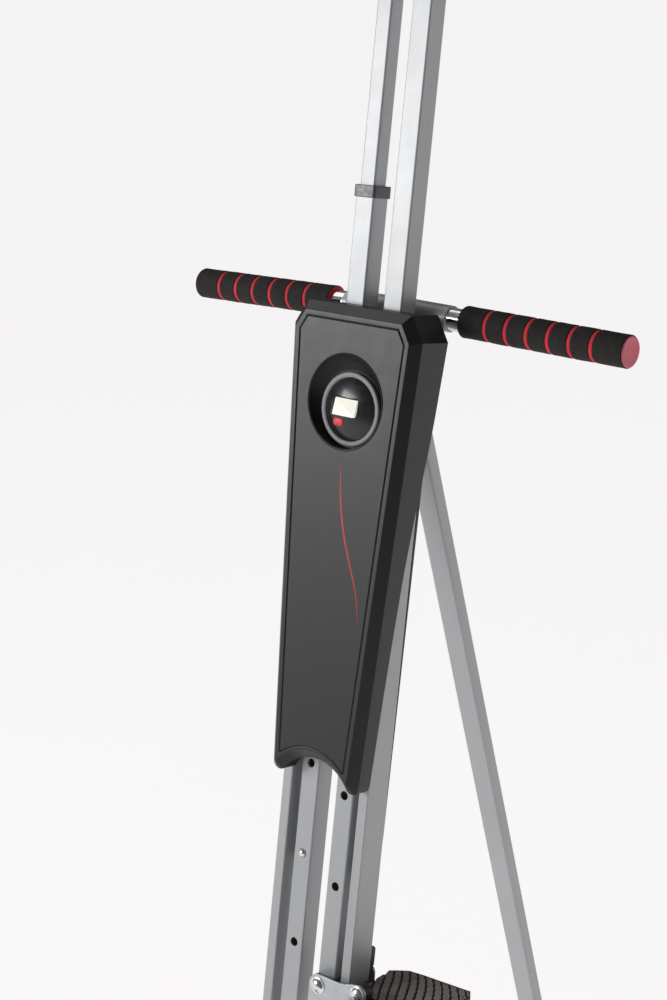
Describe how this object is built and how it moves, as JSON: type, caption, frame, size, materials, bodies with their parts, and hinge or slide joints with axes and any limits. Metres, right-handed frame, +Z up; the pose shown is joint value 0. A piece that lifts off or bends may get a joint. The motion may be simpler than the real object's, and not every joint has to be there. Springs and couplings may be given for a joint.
{
  "type": "vertical climber machine",
  "caption": "Leaning two-post climber with moving pedals and grips, fixed handlebars, console cover and a folding rear leg.",
  "frame": {"origin": "centre of the underside of the front foot's floor pad", "axes": "+Z up, -Y towards the user, +X to the side of the raised right post; the column leans back towards +Y"},
  "size_m": [0.5928, 0.7847, 2.0265],
  "materials": {
    "silver_paint": "satin silver powder coat",
    "bright_tube": "bright plated tube",
    "bolt_steel": "bright zinc",
    "zinc_plate": "satin zinc plate",
    "cover_plastic": "satin black moulding",
    "grip_foam": "closed-cell foam",
    "red_foam": "closed-cell foam",
    "red_plug": "moulded",
    "pedal_plastic": "moulded, grooved",
    "black_steel": "satin black paint",
    "black_nylon": "moulded nylon",
    "collar_plastic": "moulded",
    "belt_rubber": "ribbed belt",
    "console_gloss": "gloss black",
    "ring_plastic": "satin grey",
    "lcd": "display",
    "red_button": "moulded",
    "circuit_board": "solder mask",
    "battery_metal": "plain",
    "rubber_foot": "moulded rubber"
  },
  "bodies": {
    "frame": {"right_rail": "silver_paint", "left_rail": "silver_paint", "top_bracket": "silver_paint", "lower_bracket": "silver_paint", "front_crossbar": "silver_paint", "front_foot_caps": "rubber_foot", "front_foot_pad": "rubber_foot", "frame_bolts": "bolt_steel", "cross_tube": "silver_paint", "handlebars": "bright_tube", "grip_cores": "red_foam", "grip_foams": "grip_foam", "handlebar_plugs": "red_plug", "upper_guides": "black_nylon", "post_stops": "rubber_foot", "front_cover": "cover_plastic", "rear_cover": "cover_plastic", "cover_screws": "bolt_steel", "pulley_bracket": "silver_paint", "pulley_axle": "bolt_steel", "pulley_belt": "belt_rubber", "stroke_sensor": "black_nylon", "console_dish": "cover_plastic", "console_ring": "ring_plastic", "console_case": "console_gloss", "console_board": "circuit_board", "console_battery": "battery_metal", "console_lcd": "lcd", "hinge_bolts": "bolt_steel"},
    "button": {"console_button": "red_button"},
    "pulley": {"pulley": "black_nylon"},
    "leg": {"rear_leg": "silver_paint", "rear_crossbar": "silver_paint", "rear_foot_caps": "rubber_foot", "foot_bolt": "bolt_steel"},
    "strut": {"strut": "silver_paint"},
    "right_post": {"right_post": "silver_paint", "right_collar": "collar_plastic", "right_carriage": "zinc_plate", "right_carriage_bolts": "bolt_steel", "right_slider": "black_nylon", "right_pedal_arm": "black_steel", "right_pedal": "pedal_plastic", "right_belt": "belt_rubber"},
    "right_snap": {"right_snap_button": "bolt_steel"},
    "right_handle": {"right_inner_post": "silver_paint", "right_top_handle": "silver_paint", "right_top_grip": "grip_foam"},
    "left_post": {"left_post": "silver_paint", "left_collar": "collar_plastic", "left_carriage": "zinc_plate", "left_carriage_bolts": "bolt_steel", "left_slider": "black_nylon", "left_pedal_arm": "black_steel", "left_pedal": "pedal_plastic", "left_belt": "belt_rubber"},
    "left_snap": {"left_snap_button": "bolt_steel"},
    "left_handle": {"left_inner_post": "silver_paint", "left_top_handle": "silver_paint", "left_top_grip": "grip_foam"}
  },
  "joints": [
    {"name": "right_post_slide", "type": "slide", "parent": "frame", "child": "right_post", "axis": [0, 0.1409, 0.99], "range_m": [-0.3414, 0.045]},
    {"name": "left_post_slide", "type": "slide", "parent": "frame", "child": "left_post", "axis": [0, 0.1409, 0.99], "range_m": [-0.045, 0.3414]},
    {"name": "pulley_spin", "type": "hinge", "parent": "frame", "child": "pulley", "pos_m": [0, 0.17795, 1.12616], "axis": [0, 0.99, -0.1409], "range_deg": [-102, 756]},
    {"name": "right_handle_height", "type": "slide", "parent": "right_post", "child": "right_handle", "axis": [0, 0.1409, 0.99], "range_m": [0, 0.2132]},
    {"name": "right_snap_press", "type": "slide", "parent": "right_post", "child": "right_snap", "axis": [0, 0.99, -0.1409], "range_m": [0, 0.0035], "stiffness_N_per_m": 1500, "springref_m": -0.002},
    {"name": "left_handle_height", "type": "slide", "parent": "left_post", "child": "left_handle", "axis": [0, 0.1409, 0.99], "range_m": [0, 0.2132]},
    {"name": "left_snap_press", "type": "slide", "parent": "left_post", "child": "left_snap", "axis": [0, 0.99, -0.1409], "range_m": [0, 0.0035], "stiffness_N_per_m": 1500, "springref_m": -0.002},
    {"name": "console_button_press", "type": "slide", "parent": "frame", "child": "button", "axis": [0, 0.99, -0.1409], "range_m": [0, 0.0015], "stiffness_N_per_m": 800, "springref_m": -0.001},
    {"name": "leg_fold", "type": "hinge", "parent": "frame", "child": "leg", "pos_m": [0, 0.21477, 1.20173], "axis": [-1, 0, 0], "range_deg": [0, 21]},
    {"name": "strut_fold", "type": "hinge", "parent": "frame", "child": "strut", "pos_m": [0, 0.05879, 0.07244], "axis": [1, 0, 0], "range_deg": [0, 52.5]}
  ],
  "couplings": [
    {"joint": "left_post_slide", "follows": "right_post_slide", "ratio": -1},
    {"joint": "pulley_spin", "follows": "right_post_slide", "rad_per_m": -38.462},
    {"joint": "strut_fold", "follows": "leg_fold", "ratio": 2.48}
  ]
}
